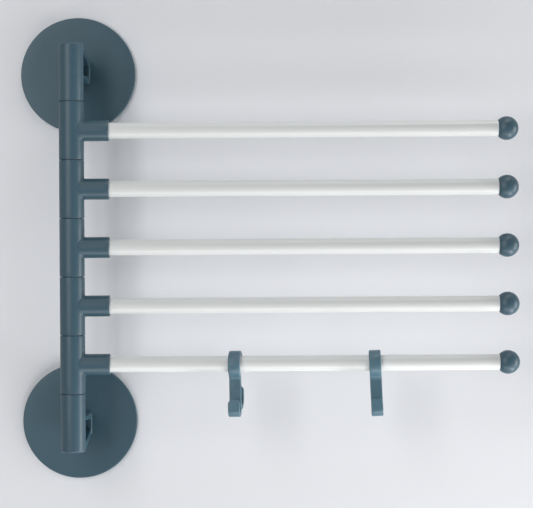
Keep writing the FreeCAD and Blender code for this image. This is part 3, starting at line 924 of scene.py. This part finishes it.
def bracket(place):
    root, tip, roof = gussetSet["root"], gussetSet["tip"], gussetSet["top"]
    plate, slope, inset = gussetSet["plate"], gussetSet["slope"], gussetSet["webInset"]
    front, back, end = footSet["front"], footSet["back"], footSet["end"]
    deep = front + gussetSet["buried"]
    sides = {
        "roof": [(root, roof - plate), (deep, roof - gussetSet["haunch"]), (deep, roof), (root, roof)],
        "slope": [(root, tip), (deep, end + gussetSet["toe"]), (deep, end + slope), (root, tip + slope)],
    }
    web = [(root, tip + inset), (deep, end + inset), (deep, roof - inset), (root, roof - inset)]

    def tapered(a, b, c):
        # the plates are as wide as the column at the post, and draw in a little towards the foot
        share = (a - root) / (deep - root)
        return place(c * (gussetSet["atPost"] + (gussetSet["atFoot"] - gussetSet["atPost"]) * share), a, b)

    added = []
    for name, outline in sides.items():
        added.append(newObject(name, *prism(outline, -0.5, 0.5, tapered)))
        soften(added[-1], gussetSet["soft"])
    half = gussetSet["web"] / 2
    added.append(newObject("web", *prism(web, -half, half, lambda a, b, c: place(c, a, b))))
    soften(added[-1], gussetSet["webSoft"])

    def footOutline(inset):
        wide = footSet["width"] / 2 - inset
        low, high, soft = end + inset, roof - inset, footSet["corner"] - inset
        corners = [(-wide, low), (wide, low), (wide, high), (-wide, high)]
        return softOutline([(a, b, soft) for a, b in corners], steps=6, closed=True)

    edge, steps, backEdge = footSet["edge"], footSet["edgeSteps"], footSet["backEdge"]
    layers = []
    for step in range(steps + 1):
        angle = math.pi / 2 * step / steps
        layers.append((footOutline(edge * (1 - math.sin(angle))), front + edge * (1 - math.cos(angle))))
    layers += [(footOutline(0.0), back - backEdge), (footOutline(backEdge), back)]
    added.append(newObject("foot", *stack(layers, lambda a, b, c: place(a, c, b))))
    return added


def bossesAndPilots(place):
    # the two screw bosses between the bracket's plates, and the holes that run into them from the disc
    radius, hole, bottom, start = bossSet["radius"], bossSet["hole"], bossSet["bottom"], bossSet["front"]
    deep, past = footSet["front"] + gussetSet["buried"], footSet["back"] + bossSet["past"]
    corners = [(0.0, start, 0), (radius, start, bossSet["edge"]), (radius, deep, 0), (0.0, deep, 0)]
    boss = softOutline(corners, steps=4)
    pilot = [(0.0, bottom), (hole, bottom + bossSet["point"]), (hole, past), (0.0, past)]
    bosses, pilots = [], []
    for side in (-1, 1):
        middle = bossSet["middle"] + side * bossSet["apart"] / 2

        def spin(along, across, up, middle=middle):
            return place(across, along, middle + up)

        bosses.append(newObject("boss", *lathe(boss, spin, segments=40)))
        pilots.append(newObject("pilot", *lathe(pilot, spin, segments=40)))
    return bosses, pilots


endPost("lower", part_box("end_post_lower")[1].z / mm, False)
endPost("upper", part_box("end_post_upper")[0].z / mm, True)
print("end posts")


# double hooks: one strip bent over the bar, the rear one branching off its stem

hookSet = {"width": 9.0, "thick": 3.2, "clip": 8.55, "back": -25.0, "front": 235.0, "below": 0.45}
hookSet |= {"neck": 7.5, "drop": 39.5, "stemSteps": 6, "bendDegrees": 4}
hookSet |= {"frontGap": 5.6, "frontLip": 13.7, "rearGap": 11.8, "rearLip": 17.5, "rearLift": 4.8}
hookSet |= {"lipCorner": 3.8, "nose": 1.4, "soft": 0.8, "fullest": 0.98, "cornerSteps": 4, "endSteps": 8}
forkSet = {"overlap": 6, "slim": 0.9956, "radius": 1.5, "depth": 1.9, "inset": 0.25, "steps": 8}
hookPlaces = {
    "left": {"bar": 5, "along": 123.5, "yaw": -7.0, "lean": -0.4},
    "right": {"bar": 5, "along": 229.7, "yaw": -3.2, "lean": -2.4},
}


def strip(line, ends):
    # line is (point, across) pairs in the side view; ends say how each end closes
    half, thick, soft = hookSet["width"] / 2, hookSet["thick"] / 2, hookSet["soft"]
    steps, fullest = hookSet["cornerSteps"], hookSet["fullest"]
    spans = spansOf(line)
    points = []
    rings = []
    for (here, across), span in zip(line, spans):
        wide, deep = half, thick
        for kind, left in zip(ends, (span, spans[-1] - span)):
            if kind == "nose":
                wide = min(wide, half - roundOff(left, soft))
                deep = min(deep, thick - roundOff(left, hookSet["nose"]))
            if kind == "lip":
                wide = min(wide, half - roundOff(left, hookSet["lipCorner"]))
                deep = min(deep, thick - roundOff(left, soft))
        bend = min(soft, wide * fullest, deep * fullest)
        ring = []
        for quarter, (signX, signY) in enumerate(((1, 1), (-1, 1), (-1, -1), (1, -1))):
            for step in range(steps + 1):
                angle = math.pi / 2 * (quarter + step / steps)
                x = signX * (wide - bend) + bend * math.cos(angle)
                out = signY * (deep - bend) + bend * math.sin(angle)
                ring.append(len(points))
                points.append((x, here.x + across.x * out, here.y + across.y * out))
        rings.append(ring)
    faces = [tuple(rings[0]), tuple(rings[-1])]
    for first, second in zip(rings, rings[1:]):
        faces += band(first, second)
    return points, faces


def spansOf(line):
    # how far along the line each of its points lies
    spans = [0.0]
    for (here, _), (before, _) in zip(line[1:], line):
        spans.append(spans[-1] + (here - before).length)
    return spans


def roundOff(left, radius):
    # how far an edge has drawn in, this far from a rounded end
    if left >= radius:
        return 0.0
    return radius - math.sqrt(max(0.0, radius**2 - (radius - left) ** 2))


def bendLine(y, z, radius, start, end, outward):
    steps = int(abs(end - start) / hookSet["bendDegrees"])
    line = []
    for step in range(steps + 1):
        angle = math.radians(start + (end - start) * step / steps)
        spoke = Vector((math.cos(angle), math.sin(angle)))
        line.append((Vector((y, z)) + spoke * radius, spoke * outward))
    return line


def finer(line):
    # short steps near both ends, so that the round ends are smooth
    spans = spansOf(line)
    total, steps = spans[-1], hookSet["endSteps"]
    marks = {round(span, 6) for span in spans}
    for radius in (hookSet["soft"], hookSet["nose"], hookSet["lipCorner"]):
        for step in range(steps + 1):
            left = radius * (1 - math.cos(math.pi / 2 * step / steps))
            marks |= {round(left, 6), round(total - left, 6)}
    fine = []
    for mark in sorted(marks):
        place = max(0, min(len(spans) - 2, sum(1 for span in spans if span <= mark + hair) - 1))
        share = (mark - spans[place]) / max(hair, spans[place + 1] - spans[place])
        (here, across), (there, onward) = line[place], line[place + 1]
        fine.append((here.lerp(there, share), across.lerp(onward, share).normalized()))
    return [fine[0]] + [b for a, b in zip(fine, fine[1:]) if (b[0] - a[0]).length > weld]


def doubleHook(word):
    thick, front, drop, neck = hookSet["thick"], hookSet["front"], hookSet["drop"], hookSet["neck"]
    reach = hookSet["clip"] + neck
    neckY = reach * math.cos(math.radians(front))
    neckZ = reach * math.sin(math.radians(front))
    stemY = neckY + neck
    frontBend = (hookSet["frontGap"] + thick) / 2
    rearBend = (hookSet["rearGap"] + thick) / 2
    frontZ = -drop + thick / 2 + frontBend
    rearZ = -drop + hookSet["rearLift"] + thick / 2 + rearBend
    out, steps = Vector((1, 0)), hookSet["stemSteps"]
    main = bendLine(0, 0, hookSet["clip"], hookSet["back"], front, 1)
    main += bendLine(neckY, neckZ, neck, front - 180, 0, -1)[1:]
    main += [(Vector((stemY, neckZ + (frontZ - neckZ) * step / steps)), -out) for step in range(1, steps)]
    main += bendLine(stemY - frontBend, frontZ, frontBend, 0, -180, -1)
    main += [(Vector((stemY - 2 * frontBend, -drop + hookSet["frontLip"])), out)]
    rearTip = -drop + hookSet["rearLift"] + hookSet["rearLip"]
    rear = [(Vector((stemY, rearZ + forkSet["overlap"])), out)]
    rear += bendLine(stemY + rearBend, rearZ, rearBend, 180, 360, -1)
    rear += [(Vector((stemY + 2 * rearBend, rearTip)), -out)]
    hook = newObject(f"double_hook_{word}_moulding", *strip(finer(main), ("nose", "lip")))
    points, faces = strip(finer(rear), ("plain", "lip"))
    slim = [(x * forkSet["slim"], y, z) for x, y, z in points]
    web = forkWeb(
        Vector((stemY - frontBend, frontZ)),
        Vector((stemY + rearBend, rearZ)),
        frontBend + thick / 2,
        rearBend + thick / 2,
    )
    combine(hook, [newObject("branch", slim, faces), newObject("web", *web)], "UNION")

    spot = hookPlaces[word]
    yaw, lean = math.radians(spot["yaw"]), math.radians(spot["lean"])
    turned = Matrix.Rotation(yaw, 4, "Z") @ Matrix.Rotation(lean, 4, "Y")
    height = barHeight(spot["bar"]) / mm - hookSet["below"]
    at = Vector((spot["along"], columnAt.y, height)) * mm
    hook.data.transform(Matrix.Translation(at) @ turned)
    # the hooks take the lighter copy of the blue, which is painted light
    dress(hook, f"hook_{word}", f"double_hook_{word}", "hookPlasticLit", sharp=42)


def forkWeb(first, second, outerFront, outerRear):
    # the small web that fills the fork underneath, between the outsides of both bends
    fill, steps = forkSet["radius"], forkSet["steps"]
    apart = (second - first).length
    along = (second - first).normalized()
    down = Vector((along.y, -along.x))
    share = ((outerFront + fill) ** 2 - (outerRear + fill) ** 2 + apart**2) / (2 * apart)
    hollow = first + along * share + down * math.sqrt((outerFront + fill) ** 2 - share**2)
    start = (first - hollow).normalized()
    end = (second - hollow).normalized()
    turn = start.angle(end)
    outline = []
    for step in range(steps + 1):
        part = step / steps
        ray = (start * math.sin((1 - part) * turn) + end * math.sin(part * turn)) / math.sin(turn)
        outline.append(tuple(hollow + ray * fill))
    outline.append(tuple(hollow + (start + end).normalized() * (fill + forkSet["depth"])))
    wide = hookSet["width"] / 2 - forkSet["inset"]
    return prism(outline, -wide, wide, lambda a, b, c: (c, a, b))


for word in ("left", "right"):
    doubleHook(word)
print("double hooks")


# the solids that stay as they are get their finish

solidFinish = {
    "centre_shaft": ("steel", "shaft_steel"),
    "bracket_screws": ("steel", "shaft_steel"),
    "swivel_washers": ("nylon", "washer_plastic"),
}


def dressSolids():
    for name, (finish, slot) in solidFinish.items():
        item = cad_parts[name]
        item.data.materials.clear()
        item.data.materials.append(finishes[finish])


dressSolids()

corners = {"solids": cadCorners, "shown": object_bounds()}
{name: [list(corner) for corner in pair] for name, pair in corners.items()}
